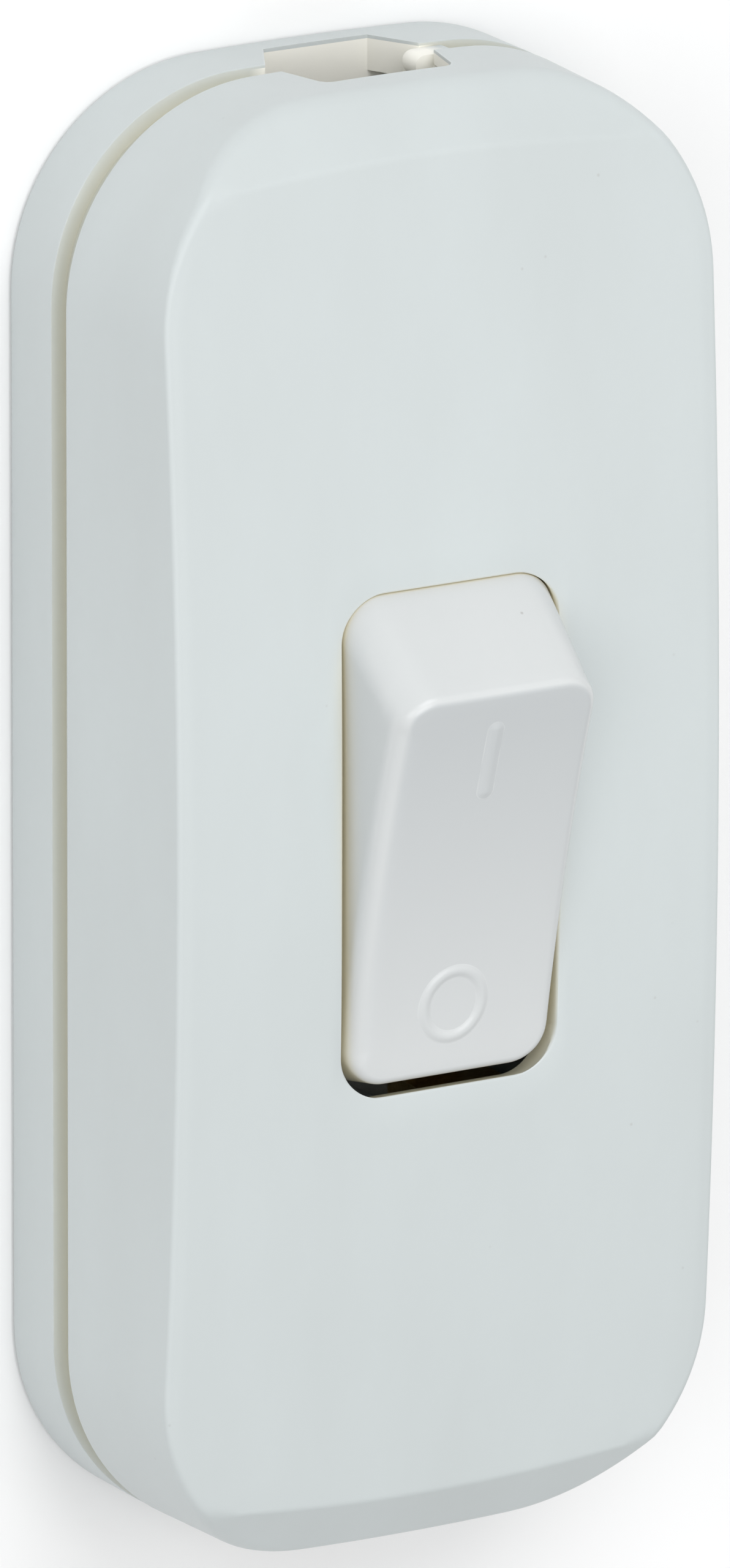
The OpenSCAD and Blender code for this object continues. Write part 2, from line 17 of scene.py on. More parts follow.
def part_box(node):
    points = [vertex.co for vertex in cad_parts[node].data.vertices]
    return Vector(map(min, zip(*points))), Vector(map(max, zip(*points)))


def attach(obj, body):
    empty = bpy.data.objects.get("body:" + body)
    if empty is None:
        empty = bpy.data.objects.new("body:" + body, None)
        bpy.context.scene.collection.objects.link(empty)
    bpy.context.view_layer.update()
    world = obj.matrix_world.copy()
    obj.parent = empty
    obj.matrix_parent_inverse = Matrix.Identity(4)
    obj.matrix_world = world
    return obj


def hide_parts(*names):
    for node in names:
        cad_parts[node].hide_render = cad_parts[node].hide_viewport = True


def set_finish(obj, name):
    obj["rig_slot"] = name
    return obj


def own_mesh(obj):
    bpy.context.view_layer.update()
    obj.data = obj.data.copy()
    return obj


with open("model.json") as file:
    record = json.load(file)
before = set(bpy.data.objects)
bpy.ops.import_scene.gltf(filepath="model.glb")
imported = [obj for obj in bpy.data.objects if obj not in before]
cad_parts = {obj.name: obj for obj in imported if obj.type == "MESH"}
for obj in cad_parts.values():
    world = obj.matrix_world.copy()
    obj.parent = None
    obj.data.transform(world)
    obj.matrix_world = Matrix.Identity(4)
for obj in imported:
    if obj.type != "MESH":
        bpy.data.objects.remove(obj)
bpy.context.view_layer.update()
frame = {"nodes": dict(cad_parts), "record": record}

MM = 0.001

# ---------------------------------------------------------------- sizes of the case

REAR_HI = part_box("rear_cover")[1] / MM
FRONT_LO, FRONT_HI = [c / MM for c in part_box("front_cover")]
HALF_W = REAR_HI.x
HALF_L = REAR_HI.y
FACE_H = FRONT_HI.z
FRONT_Z = FRONT_LO.z           # lower edge of the front cover's wall
REAR_WALL_H = 5.2
LIP_TOP = REAR_HI.z             # the rear cover's lip, as high as its ribs
CROWN_R = 415.0
CORNER_R = 13.0
BULGE_R = 240.0
WALL = 2.2
ROOF = 2.1
FLOOR = 2.0
GROOVE = 1.0                   # depth of the shadow gap
CREASE_W = 41.85               # where an end bevel meets the crown, on the centre line
BEVEL = math.radians(40)
SIDE_LEAN = 1.2 / (FACE_H - FRONT_Z)    # of the front cover's side walls

ENTRY_IN, ENTRY_OUT = 38.9, 47.7        # a cord entry is cut between these, at both ends
POST_X, POST_Y = 13.5, 31.5             # cover screws; the one towards +Y stands at -X
POST_R, BOSS_R, SCREW_R = 3.4, 3.2, 1.5
CLAMP_X, CLAMP_Y = 7.7, 36              # clamp screws, on both sides of the centre line
CLAMP_POST_R, CLAMP_SCREW_R = 2.3, 1.25
SCREW_FIT = 0.05

WINDOW_W, WINDOW_L, WINDOW_R = 14.9, 31.4, 3.0
GUIDE_LOW, CHEEK_LOW = 14.8, 9.4        # lower edges of the walls that hang beside the rocker
PIVOT_H = 12.7
STUB_R, STUB_FIT = 1.75, 0.05
TILT = math.radians(14)
SWING_R = 16.6                 # undercut of the window's end walls
FACE_W, FACE_CORNER = 6.85, 2.5
SKIRT_W, SKIRT_CORNER = 7.3, 2.6
SWEEP_CORNER = SKIRT_CORNER + 0.1

CORNER_X = HALF_W - CORNER_R
END_Y = HALF_L - BULGE_R
CORNER_Y = END_Y + math.sqrt((BULGE_R - CORNER_R) ** 2 - CORNER_X ** 2)
BLEND = math.atan2(CORNER_Y - END_Y, CORNER_X)
CROWN_Z = FACE_H - CROWN_R
CREASE_Z = CROWN_Z + math.sqrt(CROWN_R ** 2 - CREASE_W ** 2)

SIDE_N, ARC_N, END_N = 22, 30, 14       # divisions of a quarter: side, corner, end


# ---------------------------------------------------------------- mesh helpers

def make_object(name, verts, faces, smooth=32):
    """A mesh object from points in millimetres, with edges sharper than smooth degrees kept."""
    mesh = bpy.data.meshes.new(name)
    mesh.from_pydata((np.asarray(verts, float) * MM).tolist(), [], faces)
    mesh.validate()
    fix_normals(mesh)
    obj = bpy.data.objects.new(name, mesh)
    bpy.context.scene.collection.objects.link(obj)
    shade(mesh, smooth)
    return obj


def fix_normals(mesh):
    bm = bmesh.new()
    bm.from_mesh(mesh)
    bmesh.ops.remove_doubles(bm, verts=bm.verts, dist=1e-6)
    bmesh.ops.recalc_face_normals(bm, faces=bm.faces)
    bm.to_mesh(mesh)
    bm.free()


def shade(mesh, degrees):
    mesh.polygons.foreach_set("use_smooth", [True] * len(mesh.polygons))
    mesh.set_sharp_from_angle(angle=math.radians(degrees))


def tube_faces(count, around, closed=False):
    """Quads joining count rings of the same number of points."""
    last = count if closed else count - 1
    return [
        (a * around + i, a * around + (i + 1) % around,
         (a + 1) % count * around + (i + 1) % around, (a + 1) % count * around + i)
        for a in range(last) for i in range(around)
    ]


def rings_object(name, rings, closed=False, caps=False, smooth=32):
    """A skin over rings, an array of (ring, point, xyz)."""
    rings = np.asarray(rings, float)
    count, around = rings.shape[:2]
    faces = tube_faces(count, around, closed)
    if caps:
        faces += [tuple(range(around))[::-1],
                  tuple(range((count - 1) * around, count * around))]
    return make_object(name, rings.reshape(-1, 3), faces, smooth)


def combine(obj, others, operation):
    """Boolean of obj with each of the others, which are used up."""
    for other in others:
        mod = obj.modifiers.new("cut", "BOOLEAN")
        mod.operation = operation
        mod.solver = "MANIFOLD"
        mod.object = other
        bpy.context.view_layer.update()
        graph = bpy.context.evaluated_depsgraph_get()
        made = bpy.data.meshes.new_from_object(obj.evaluated_get(graph))
        obj.modifiers.clear()
        old = obj.data
        obj.data = made
        made.name = old.name
        bpy.data.meshes.remove(old)
        bpy.data.objects.remove(other)
    return obj


def arc(cx, cy, r, a0, a1, n):
    a = np.linspace(a0, a1, n + 1)
    return np.stack([cx + r * np.cos(a), cy + r * np.sin(a)], 1)


def whole_loop(quarter):
    """Closed loop from one quarter, which runs from the +X side round to the +Y end."""
    q = np.asarray(quarter)
    left = (q * [-1, 1])[::-1][1:]
    half = np.concatenate([q, left])
    return np.concatenate([half, -half[1:-1]]) if np.allclose(half[-1], -q[0]) else half


def rounded_quarter(half_w, half_l, r, counts):
    """Quarter of a rectangle with round corners: side, corner and end with given divisions."""
    side, turn, end = counts
    return np.concatenate([
        np.stack([np.full(side, half_w), np.linspace(0, half_l - r, side + 1)[:-1]], 1),
        arc(half_w - r, half_l - r, r, 0, math.pi / 2, turn)[:-1],
        np.stack([np.linspace(half_w - r, 0, end + 1), np.full(end + 1, half_l)], 1)])


def rounded_block(name, centre, size, r, segments=3):
    """Closed block with rounded upright edges and softened top and bottom edges."""
    hx, hy, hz = size[0] / 2, size[1] / 2, size[2] / 2
    soft = min(r, hz) * 0.6
    rings = []
    for z, inset in [(-hz, soft), (-hz + soft * 0.3, soft * 0.3), (-hz + soft, 0),
                     (hz - soft, 0), (hz - soft * 0.3, soft * 0.3), (hz, soft)]:
        loop = whole_loop(rounded_quarter(hx - inset, hy - inset, max(r - inset, 0.01),
                                          (1, segments, 1)))
        rings.append(np.column_stack([loop + centre[:2], np.full(len(loop), centre[2] + z)]))
    return rings_object(name, rings, caps=True)


def cylinder(name, centre, axis, r, length, soft=0.0, around=40):
    """Closed cylinder along axis (0, 1 or 2), with an optional softened rim."""
    a = np.linspace(0, 2 * math.pi, around, endpoint=False)
    steps = [(-length / 2, r - soft), (-length / 2 + soft, r),
             (length / 2 - soft, r), (length / 2, r - soft)]
    if not soft:
        steps = [steps[0], steps[-1]]
    rings = []
    for along, radius in steps:
        p = np.zeros((around, 3))
        p[:, (axis + 1) % 3] = radius * np.cos(a)
        p[:, (axis + 2) % 3] = radius * np.sin(a)
        p[:, axis] = along
        rings.append(p + centre)
    return rings_object(name, rings, caps=True)


def prism(name, outline, low, high, axis=2):
    """Closed prism of an outline. Axis 1 takes the outline as (x, z)."""
    outline = np.asarray(outline, float)
    rings = []
    for at in (low, high):
        column = np.full(len(outline), at)
        rings.append(np.stack([outline[:, 0], column, outline[:, 1]], 1) if axis == 1
                     else np.column_stack([outline, column]))
    return rings_object(name, rings, caps=True)


# ---------------------------------------------------------------- plan of the case

def case_quarter(inset):
    """Quarter of the case's outline, moved in by inset, from the side wall to the end wall."""
    side = np.stack([np.full(SIDE_N, HALF_W - inset),
                     np.linspace(0, CORNER_Y, SIDE_N + 1)[:-1]], 1)
    corner = arc(CORNER_X, CORNER_Y, CORNER_R - inset, 0, BLEND, ARC_N)[:-1]
    end = arc(0, END_Y, BULGE_R - inset, BLEND, math.pi / 2, END_N)
    return np.concatenate([side, corner, end])


def smooth_step(t):
    t = np.clip(t, 0, 1)
    return t * t * (3 - 2 * t)


OUTER = whole_loop(case_quarter(0))
INWARD = whole_loop(case_quarter(1)) - OUTER
COLUMNS = len(OUTER)
NEAR = 3.0                     # columns run square to the wall this far, then to the window
WINDOW = whole_loop(rounded_quarter(WINDOW_W / 2, WINDOW_L / 2, WINDOW_R,
                                    (SIDE_N, ARC_N, END_N)))
TO_WINDOW = WINDOW - (OUTER + NEAR * INWARD)
REACH = np.linalg.norm(TO_WINDOW, axis=1)
TO_WINDOW /= REACH[:, None]
SPAN = NEAR + REACH            # from the outline to the window's rim along each column
AT_END = np.abs(INWARD[:, 1])  # 0 on the side walls, 1 on the end walls


def plan(s):
    """Plan position s millimetres in from the outline, for an array with a value per column."""
    s = np.asarray(s)[..., None]
    return OUTER + np.minimum(s, NEAR) * INWARD + np.maximum(s - NEAR, 0) * TO_WINDOW


def bevel_coordinate(p):
    """Distance from the middle as an end bevel sees it.

    It follows the bulge of the end wall, and the crease bends in towards the corners.
    """
    x, y = p[..., 0], np.abs(p[..., 1])
    w = y + x ** 2 / (2 * BULGE_R)
    t = np.clip((HALF_L - w) / (HALF_L - CREASE_W), 0, 1)
    return w + 0.0014 * x ** 2 * t * (2 - t)


def face_height(p, inset=0.0):
    """Height of the front cover's skin, or of the same skin inset by a wall."""
    crown = CROWN_Z + np.sqrt((CROWN_R - inset) ** 2 - p[..., 1] ** 2)
    bevel = CREASE_Z - inset / math.cos(BEVEL)
    bevel = bevel - (bevel_coordinate(p) - CREASE_W) * math.tan(BEVEL)
    return np.minimum(crown, bevel)


# ---------------------------------------------------------------- front cover

FOOT_R = 0.1                   # rounds the wall's lower edge
RIM_R = 0.3 - 0.16 * smooth_step((np.abs(WINDOW[:, 1]) - 13.5) / 2)


def ring_at(s, z):
    return np.column_stack([plan(s), z])


def column_interp(at, known, value):
    """Interpolates every column's own curve; at has a row for each value wanted."""
    at = np.atleast_2d(at)
    return np.stack([np.interp(at[:, i], known[:, i], value[:, i])
                     for i in range(known.shape[1])], 1)


def arc_length(s, z):
    """Distance along each column's curve to each of its points."""
    step = np.hypot(np.diff(s, axis=0), np.diff(z, axis=0))
    return np.concatenate([np.zeros((1, s.shape[1])), np.cumsum(step, axis=0)])


def running_mean(length, value, at, reach):
    """Mean of each column's value over the length from at - reach to at + reach."""
    area = np.concatenate([np.zeros((1, value.shape[1])), np.cumsum(
        np.diff(length, axis=0) * (value[1:] + value[:-1]) / 2, axis=0)])
    at = np.clip(at, 1e-3, length[-1] - 1e-3)
    reach = np.minimum(reach, np.minimum(at, length[-1] - at))
    high, low = (column_interp(at + sign * reach, length, area) for sign in (1, -1))
    return (high - low) / (2 * reach)


def skin_curve():
    """Each column's section (inset, height) from the wall's foot to the window, edges sharp.

    The third value is the index of the point where the wall meets the face.
    """
    lean = np.maximum(SIDE_LEAN * np.abs(OUTER[:, 0]) / HALF_W * np.abs(INWARD[:, 0]), 1e-4)
    probe = np.linspace(0, 3, 400)[:, None] * np.ones(COLUMNS)
    over = FRONT_Z + probe / lean - face_height(plan(probe))
    edge_s = column_interp(np.zeros(COLUMNS), over, probe)[0]
    t = np.linspace(0, 1, 320)[:, None]
    roof_s = edge_s + t ** 1.5 * (SPAN - RIM_R - edge_s)
    shoulder = 0.09 * (1 - smooth_step((roof_s - edge_s) / 1.1)) * (1 - smooth_step(AT_END * 1.3))
    roof_z = face_height(plan(roof_s)) - shoulder
    wall_z = FRONT_Z + FOOT_R + t[:-1] * (roof_z[0] - FRONT_Z - FOOT_R)
    return np.concatenate([t[:-1] * edge_s, roof_s]), np.concatenate([wall_z, roof_z]), len(t) - 1


def front_cover_skin():
    """Rings of the front cover's outside, with its edges rounded."""
    s, z, edge_at = skin_curve()
    length = arc_length(s, z)
    edge = length[edge_at]
    w = bevel_coordinate(plan(s))
    crease = column_interp(np.full(COLUMNS, -CREASE_W), -w[edge_at:], length[edge_at:])[0]
    edge_reach = 0.28 + 0.5 * smooth_step(AT_END * 1.15 - 0.15)
    crease = np.maximum(crease, edge + edge_reach + 1.1)
    sections = ((0 * edge, edge - 1.2 * edge_reach, 7), (edge - 1.2 * edge_reach, edge, 6),
                (edge, edge + 1.2 * edge_reach, 6), (edge + 1.2 * edge_reach, crease - 0.35, 6),
                (crease - 0.35, crease + 0.35, 6), (crease + 0.35, length[-1], 13))
    at = np.concatenate([a + (b - a) * (np.arange(n) / n)[:, None] for a, b, n in sections])
    past = smooth_step((at - edge - edge_reach) / 0.8)
    reach = edge_reach + (0.25 - edge_reach) * past
    return [ring_at(a, b) for a, b in zip(running_mean(length, s, at, reach),
                                          running_mean(length, z, at, reach))]


def front_cover_rings():
    """All rings of the cover: foot, outside, window rim and wall, inside, and back to the foot."""
    rings = []
    for a in np.linspace(0, math.pi / 2, 4)[:-1]:
        at = np.full(COLUMNS, FOOT_R * (1 - math.sin(a)))
        rings.append(ring_at(at, np.full(COLUMNS, FRONT_Z + FOOT_R * (1 - math.cos(a)))))
    rings += front_cover_skin()
    rim_z = face_height(plan(SPAN))
    for a in np.linspace(0, math.pi / 2, 5):
        rings.append(window_ring(rim_z - RIM_R * (1 - math.cos(a)), RIM_R * (1 - math.sin(a))))
    under = face_height(plan(SPAN), ROOF)
    for t in np.linspace(0, 1, 7)[1:]:
        rings.append(window_ring(rim_z - RIM_R + (under - rim_z + RIM_R) * t, 0))
    inner = WALL + (SPAN - WALL) * np.linspace(0.97, 0, 26)[:, None] ** 1.6
    shelf = LIP_TOP + 0.1
    for row in inner:
        rings.append(ring_at(row, np.maximum(face_height(plan(row), ROOF), shelf)))
    inset = np.full(COLUMNS, WALL)
    rings.append(ring_at(inset, np.full(COLUMNS, shelf)))
    skin = np.full(COLUMNS, GROOVE - 0.1)
    rings.append(ring_at(skin, np.full(COLUMNS, shelf)))
    rings.append(ring_at(skin, np.full(COLUMNS, FRONT_Z + 0.1)))
    rings.append(ring_at(skin - 0.1, np.full(COLUMNS, FRONT_Z)))
    return rings


def window_ring(z, back):
    """Ring down the window's wall, set back from the rim, cut back where the rocker swings."""
    p = plan(SPAN - back)
    x, y = np.abs(p[:, 0]), np.abs(p[:, 1])
    turn = np.clip(x - SKIRT_W + SKIRT_CORNER, 0, SWEEP_CORNER)
    swing = SWING_R - SWEEP_CORNER + np.sqrt(SWEEP_CORNER ** 2 - turn ** 2)
    reach = np.sqrt(swing ** 2 - (z - PIVOT_H) ** 2)
    y = np.where(y > WINDOW_L / 2 - WINDOW_R, np.maximum(y, reach), y)
    return np.column_stack([p[:, 0], np.sign(p[:, 1]) * y, z])


def entry_outline():
    """Shape of the cord entry, as (x, z), with its roof's corners rounded."""
    right = np.array([(3.6, FLOOR), (5.3, REAR_WALL_H), (5.3, FRONT_Z), (4.55, 10.35),
                      (4.25, 10.75), (3.85, 10.9)])
    return np.concatenate([right, (right * [-1, 1])[::-1]])


def entry_cutters():
    """One for each end, through the end wall."""
    return [prism("entry_tool", entry_outline(), low, high, axis=1)
            for low, high in ((ENTRY_IN, ENTRY_OUT), (-ENTRY_OUT, -ENTRY_IN))]


def build_front_cover():
    cover = rings_object("front_shell", front_cover_rings(), closed=True)
    combine(cover, entry_cutters(), "DIFFERENCE")
    parts = []
    roof_z = FACE_H - ROOF / 2
    guide_top = roof_z - 0.4
    bores = [cylinder("bore", (0, 0, PIVOT_H), 0, STUB_R + STUB_FIT, 26)]
    for side in (-1, 1):
        guide_x, cheek_x = side * (WINDOW_W / 2 + 0.76), side * (WINDOW_W / 2 + 1.01)
        parts += [
            rounded_block("guide", (guide_x, 0, (GUIDE_LOW + guide_top) / 2),
                          (1.5, WINDOW_L - 6.6, guide_top - GUIDE_LOW), 0.2),
            rounded_block("cheek", (cheek_x, 0, (CHEEK_LOW + roof_z) / 2),
                          (2.0, 8.4, roof_z - CHEEK_LOW), 0.3),
            cylinder("boss", (-side * POST_X, side * POST_Y, 12.1), 2, BOSS_R, 7.8)]
        bores.append(cylinder("bore", (-side * POST_X, side * POST_Y, 10.0), 2,
                              SCREW_R + SCREW_FIT, 9.0))
    combine(cover, parts, "UNION")
    combine(cover, bores, "DIFFERENCE")
    shade(cover.data, 30)
    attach(cover, "case")
    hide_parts("front_cover")
    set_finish(cover, "case_plastic")
    return cover


# ---------------------------------------------------------------- rear cover

def rear_profile():
    """(inset, height) all the way round the tray's section, from the back to the floor."""
    edge, soft = 0.5, 0.07
    out = [(8.0, 0.0)]
    out += [(edge * (1 - math.sin(a)), edge * (1 - math.cos(a)))
            for a in np.linspace(0, math.pi / 2, 6)]
    out += [(0.0, h) for h in np.linspace(1.2, REAR_WALL_H - soft, 4)]
    out += [(soft * (1 - math.cos(a)), REAR_WALL_H - soft * (1 - math.sin(a)))
            for a in np.linspace(0, math.pi / 2, 4)[1:]]
    out += [(GROOVE, REAR_WALL_H), (GROOVE, 6.6), (GROOVE, LIP_TOP - soft),
            (GROOVE + soft, LIP_TOP), (WALL - soft, LIP_TOP), (WALL, LIP_TOP - soft),
            (WALL, 4.5), (WALL, FLOOR), (8.0, FLOOR)]
    return out


def rear_ring(inset, z):
    return np.column_stack([OUTER + inset * INWARD, np.full(COLUMNS, z)])


def build_rear_cover():
    cover = rings_object("rear_shell", [rear_ring(a, b) for a, b in rear_profile()], caps=True)
    combine(cover, entry_cutters(), "DIFFERENCE")
    parts = [rounded_block("rib", (0, 0, 4.4), (1.2, 20, 5.8), 0.2)]
    bores = []
    for side in (-1, 1):
        at = (-side * POST_X, side * POST_Y)
        parts += [rounded_block("rib", (0, side * 24, 5.25), (1.2, 10, 7.5), 0.2),
                  rounded_block("rib", (side * 11.8, 0, 4.5), (0.6, 36, 6.0), 0.1)]
        parts += [rounded_block("grip", (0, side * y, 1.95), (8, 0.8, 1.9), 0.15)
                  for y in (CLAMP_Y - 1, CLAMP_Y + 1)]
        parts.append(cylinder("post", (*at, 4.5), 2, POST_R, 7.0, 0.15))
        bores += [cylinder("bore", (*at, 1.05), 2, BOSS_R, 3.1, around=56),
                  cylinder("bore", (*at, 5.0), 2, SCREW_R + 0.2, 8.0)]
        for x in (-CLAMP_X, CLAMP_X):
            parts.append(cylinder("post", (x, side * CLAMP_Y, 4.25), 2, CLAMP_POST_R, 6.5, 0.1))
            bores.append(cylinder("bore", (x, side * CLAMP_Y, 5.5), 2,
                                  CLAMP_SCREW_R + SCREW_FIT, 5.0))
    parts.append(rounded_block("entry_remnant", (5.7, 44.45, 5.9), (3.2, 1.5, 1.9), 0.72, 6))
    combine(cover, parts, "UNION")
    combine(cover, bores, "DIFFERENCE")
    shade(cover.data, 30)
    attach(cover, "case")
    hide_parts("rear_cover")
    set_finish(cover, "case_plastic")
    return cover


# ---------------------------------------------------------------- rocker, in its own frame

FACE_L = 13.1
EDGE_H = 9.0
DISH = 0.6
DISH_R = (FACE_L ** 2 + DISH ** 2) / (2 * DISH)
SKIRT_R = 16.5
SKIRT_TOP = SKIRT_R * math.sin(math.radians(5.6))
SKIRT_OUT = SKIRT_R * math.cos(math.radians(5.6))
SKIRT_LOW = -SKIRT_R * math.sin(math.radians(4.0))
MARK_H = 0.11                  # of the raised bar and ring
BLOCK_LOW, BLOCK_HIGH = -2.4, 7.4       # block that the plungers slide in
PLUNGER_X, PLUNGER_BORE_R, BORE_TOP = 3.1, 1.65, 6.3
LEAN = (SKIRT_OUT - FACE_L) / (EDGE_H - SKIRT_TOP)
ROCKER_COUNTS = (26, 14, 14)


def rocker_half_length(z):
    """Half length of the rocker's plan outline at a height above its pivot."""
    leaning = FACE_L + (EDGE_H - z) * LEAN
    skirt = np.sqrt(np.maximum(SKIRT_R ** 2 - z ** 2, 0))
    return leaning if z > SKIRT_TOP else skirt


def widening(z):
    """Share of the way from the finger face's width to the skirt's."""
    return np.clip((EDGE_H - z) / (EDGE_H - SKIRT_TOP), 0, 1)


def rocker_loop(z, inset=0.0):
    t = float(widening(z))
    half_w = FACE_W + (SKIRT_W - FACE_W) * t
    corner = FACE_CORNER + (SKIRT_CORNER - FACE_CORNER) * t
    return whole_loop(rounded_quarter(half_w - inset, rocker_half_length(z) - inset,
                                      max(corner - inset, 0.3), ROCKER_COUNTS))


def dish_height(y):
    centre = EDGE_H - DISH + DISH_R
    return centre - np.sqrt(DISH_R ** 2 - np.minimum(np.abs(y), FACE_L + 2) ** 2)


def place_rocker(points):
    """From the rocker's own frame to its rest pose."""
    p = np.asarray(points, float)
    c, s = math.cos(TILT), math.sin(TILT)
    y = p[..., 1] * c - p[..., 2] * s
    z = p[..., 1] * s + p[..., 2] * c + PIVOT_H
    return np.stack([p[..., 0], y, z], -1)


def edge_radius(loop):
    """Radius of the finger face's edge: tight along the ends, softer along the sides."""
    side = 1.3 - 0.6 * smooth_step(loop[:, 0] / FACE_W + 0.5)
    t = smooth_step((np.abs(loop[:, 1]) - (FACE_L - FACE_CORNER)) / 2.2)
    return side + (0.45 - side) * t


def rocker_rings():
    """Rings of the rocker's outside, from the skirt's lower edge to the middle of its face."""
    loop = rocker_loop(EDGE_H)
    radius = edge_radius(loop)
    heights = dish_height(loop[:, 1])
    soft, level = 0.15, 6.6    # rounding of the skirt's edge, and where rings stop being level
    base = rocker_loop(SKIRT_LOW + soft, soft)
    rings = [np.column_stack([base, np.full(len(base), SKIRT_LOW)])]
    for z in np.concatenate([np.linspace(SKIRT_LOW + soft, SKIRT_TOP, 6),
                             np.linspace(SKIRT_TOP, level, 7)[1:]]):
        base = rocker_loop(z)
        rings.append(np.column_stack([base, np.full(len(base), z)]))
    for t in (0.35, 0.7):
        z = level + (heights - radius - level) * t
        rings.append(np.column_stack([outline_at(z), z]))
    for a in np.linspace(0, math.pi / 2, 9):
        below = radius * (1 - math.sin(a))
        xy = inset_loop(outline_at(heights - below), radius * (1 - math.cos(a)))
        rings.append(np.column_stack([xy, dish_height(xy[:, 1]) - below]))
    edge = rings[-1][:, :2]
    for t in np.linspace(0, 1, 9)[1:]:
        shrink = 1 - 0.985 * t
        xy = np.stack([edge[:, 0] * shrink, edge[:, 1] * (1 - 0.35 * t)], 1)
        rings.append(np.column_stack([xy, dish_height(xy[:, 1])]))
    return rings


def outline_at(z):
    """Rocker outline for a height per point."""
    base = rocker_loop(EDGE_H)
    grow = np.where(z > SKIRT_TOP, (EDGE_H - z) * LEAN, 0)
    base[:, 0] *= 1 + (SKIRT_W / FACE_W - 1) * widening(z)
    base[:, 1] *= 1 + grow / FACE_L
    return base


def inset_loop(loop, inset):
    """Moves each point inwards, square to the loop, by its own distance."""
    ahead = np.roll(loop, -1, 0) - np.roll(loop, 1, 0)
    ahead /= np.linalg.norm(ahead, axis=1)[:, None]
    inward = np.stack([-ahead[:, 1], ahead[:, 0]], 1)
    return loop + inward * inset[:, None]


def build_rocker():
    """Hollow button with its pivot stubs and the block that the plungers slide in."""
    rings = rocker_rings()
    around = len(rings[0])
    skin = np.concatenate(rings)
    faces = tube_faces(len(rings), around)
    last = (len(rings) - 1) * around
    faces += strip_faces(last, around)
    inner = []                 # rings of the hollow, with straight sides
    for z, inset in ((SKIRT_LOW, 1.5), (1.3, 1.5), (5.2, 1.4), (7.1, 1.3)):
        base = rocker_loop(z, inset)
        base[:, 0] = np.clip(base[:, 0], -5.5, 5.5)
        inner.append(np.column_stack([base, np.full(len(base), z)]))
    start = len(skin)
    skin = np.concatenate([skin] + inner)
    faces += [(i, (i + 1) % around, (i + 1) % around + start, i + start) for i in range(around)]
    faces += [tuple(start + v for v in face) for face in tube_faces(len(inner), around)]
    roof = start + (len(inner) - 1) * around
    faces.append(tuple(range(roof, roof + around)))
    rocker = make_object("rocker_shell", place_rocker(skin), faces, 30)
    parts = []
    for side in (-1, 1):
        parts += [own_cylinder((side * 6.3, 0, 0), 0, 3.6, 1.6),
                  own_cylinder((side * 7.275, 0, 0), 0, STUB_R, 3.75, 0.15)]
    block = rounded_block("block", (0, 0, (BLOCK_LOW + BLOCK_HIGH) / 2),
                          (11.4, 6.4, BLOCK_HIGH - BLOCK_LOW), 0.15)
    to_rest(block)
    parts.append(block)
    combine(rocker, parts, "UNION")
    bores = [own_cylinder((x, 0, BORE_TOP - 4.85), 2, PLUNGER_BORE_R, 9.7)
             for x in (-PLUNGER_X, PLUNGER_X)]
    combine(rocker, bores, "DIFFERENCE")
    shade(rocker.data, 30)
    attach(rocker, "rocker")
    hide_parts("rocker")
    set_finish(rocker, "rocker_plastic")
    return rocker


def strip_faces(start, around):
    """Closes a thin symmetric ring across its width."""
    quarter = around // 4
    mirror = {i: (2 * quarter - i) % around for i in range(around)}
    faces = []
    for i in range(-quarter, quarter):
        a, b = i % around, (i + 1) % around
        kept = list(dict.fromkeys([a, b, mirror[b], mirror[a]]))
        if len(kept) > 2:
            faces.append(tuple(start + v for v in kept))
    return faces


def to_rest(obj):
    """Turns a mesh made in the rocker's own frame, in metres, to the rest pose."""
    turn = Matrix.Translation((0, 0, PIVOT_H * MM)) @ Matrix.Rotation(TILT, 4, "X")
    obj.data.transform(turn)


def own_cylinder(centre, axis, r, length, soft=0.0):
    obj = cylinder("tool", centre, axis, r, length, soft)
    to_rest(obj)
    return obj


def ridge_height(share):
    """Height of a raised mark at a share of its half width: soft foot, round top."""
    return MARK_H * (0.5 + 0.5 * math.cos(math.pi * share)) ** 0.75


def closed_ridge(name, centre_line, half_w):
    """Raised line on the finger face along a closed centre line."""
    path = np.asarray(centre_line, float)
    ahead = np.roll(path, -1, 0) - np.roll(path, 1, 0)
    ahead /= np.linalg.norm(ahead, axis=1)[:, None]
    aside = np.stack([-ahead[:, 1], ahead[:, 0]], 1)
    section = [(-1.0, -0.3)] + [(a, ridge_height(abs(a))) for a in np.linspace(-1, 1, 13)]
    section.append((1.0, -0.3))
    verts = []
    for p, out in zip(path, aside):
        for across, up in section:
            xy = p + out * across * half_w
            verts.append((xy[0], xy[1], dish_height(xy[1]) + up))
    faces = tube_faces(len(path), len(section), closed=True)
    obj = make_object(name, place_rocker(verts), faces, 40)
    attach(obj, "rocker")
    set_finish(obj, "rocker_plastic")
    return obj


def bar_mark():
    """The bar: a rounded ridge with round ends."""
    half_w, half_l = 0.6, 2.75
    shares = (1.0, 0.86, 0.72, 0.57, 0.42, 0.25, 0.1)
    levels = [(1.0, -0.3)] + [(share, ridge_height(share)) for share in shares]
    rings = []
    for share, up in levels:
        r = half_w * share
        loop = whole_loop(rounded_quarter(r, half_l - half_w + r, r * 0.999, (10, 8, 1)))
        xy = loop + [-0.05, 8.3]
        rings.append(np.column_stack([xy, dish_height(xy[:, 1]) + up]))
    obj = rings_object("bar_mark", place_rocker(rings), caps=True, smooth=50)
    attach(obj, "rocker")
    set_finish(obj, "rocker_plastic")
    return obj


def ring_mark():
    a = np.linspace(0, 2 * math.pi, 72, endpoint=False)
    line = np.stack([-0.2 + 2.0 * np.cos(a), -8.4 + 2.2 * np.sin(a)], 1)
    return closed_ridge("ring_mark", line, 0.45)


# ---------------------------------------------------------------- plunger springs

